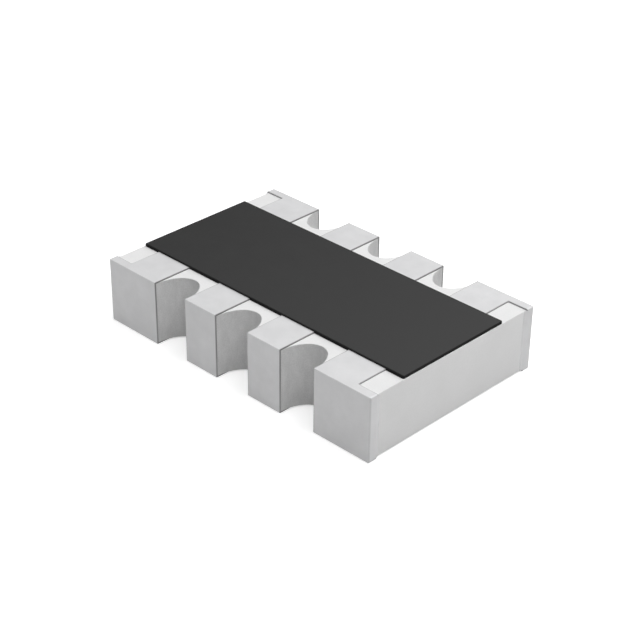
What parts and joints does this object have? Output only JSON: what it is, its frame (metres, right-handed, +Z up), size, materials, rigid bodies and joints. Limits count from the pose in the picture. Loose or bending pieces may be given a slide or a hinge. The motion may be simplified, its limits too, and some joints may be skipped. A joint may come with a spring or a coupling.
{
  "type": "resistor network",
  "caption": "Surface mount resistor array: flat ceramic chip with a black coat on top, scalloped long sides, and plated terminals wrapped over the tabs between the scallops.",
  "frame": {"origin": "under the middle of the chip, level with the solder faces of the terminals", "axes": "+X along the rows of terminals, +Y across the chip, +Z up, away from the board. The near row is at -Y"},
  "size_m": [0.0032, 0.002, 0.0006],
  "materials": {
    "alumina": "matte fired alumina, slightly grainy",
    "overcoat": "satin black printed coat",
    "resistor_film": "matte fired thick film",
    "glass_film": "fired glass",
    "silver_electrode": "matte fired silver",
    "nickel_barrier": "satin plated nickel",
    "tin_finish": "matte plated tin"
  },
  "bodies": {
    "root": {"bottom_electrode_1": "silver_electrode", "bottom_electrode_2": "silver_electrode", "bottom_electrode_3": "silver_electrode", "bottom_electrode_4": "silver_electrode", "bottom_electrode_5": "silver_electrode", "bottom_electrode_6": "silver_electrode", "bottom_electrode_7": "silver_electrode", "bottom_electrode_8": "silver_electrode", "ceramic_substrate": "alumina", "edge_electrode_1": "silver_electrode", "edge_electrode_2": "silver_electrode", "edge_electrode_3": "silver_electrode", "edge_electrode_4": "silver_electrode", "edge_electrode_5": "silver_electrode", "edge_electrode_6": "silver_electrode", "edge_electrode_7": "silver_electrode", "edge_electrode_8": "silver_electrode", "glass_film_1": "glass_film", "glass_film_2": "glass_film", "glass_film_3": "glass_film", "glass_film_4": "glass_film", "nickel_barrier_1": "nickel_barrier", "nickel_barrier_2": "nickel_barrier", "nickel_barrier_3": "nickel_barrier", "nickel_barrier_4": "nickel_barrier", "nickel_barrier_5": "nickel_barrier", "nickel_barrier_6": "nickel_barrier", "nickel_barrier_7": "nickel_barrier", "nickel_barrier_8": "nickel_barrier", "overcoat": "overcoat", "resistor_film_1": "resistor_film", "resistor_film_2": "resistor_film", "resistor_film_3": "resistor_film", "resistor_film_4": "resistor_film", "tin_finish_1": "tin_finish", "tin_finish_2": "tin_finish", "tin_finish_3": "tin_finish", "tin_finish_4": "tin_finish", "tin_finish_5": "tin_finish", "tin_finish_6": "tin_finish", "tin_finish_7": "tin_finish", "tin_finish_8": "tin_finish", "top_electrode_1": "silver_electrode", "top_electrode_2": "silver_electrode", "top_electrode_3": "silver_electrode", "top_electrode_4": "silver_electrode", "top_electrode_5": "silver_electrode", "top_electrode_6": "silver_electrode", "top_electrode_7": "silver_electrode", "top_electrode_8": "silver_electrode"}
  },
  "joints": []
}
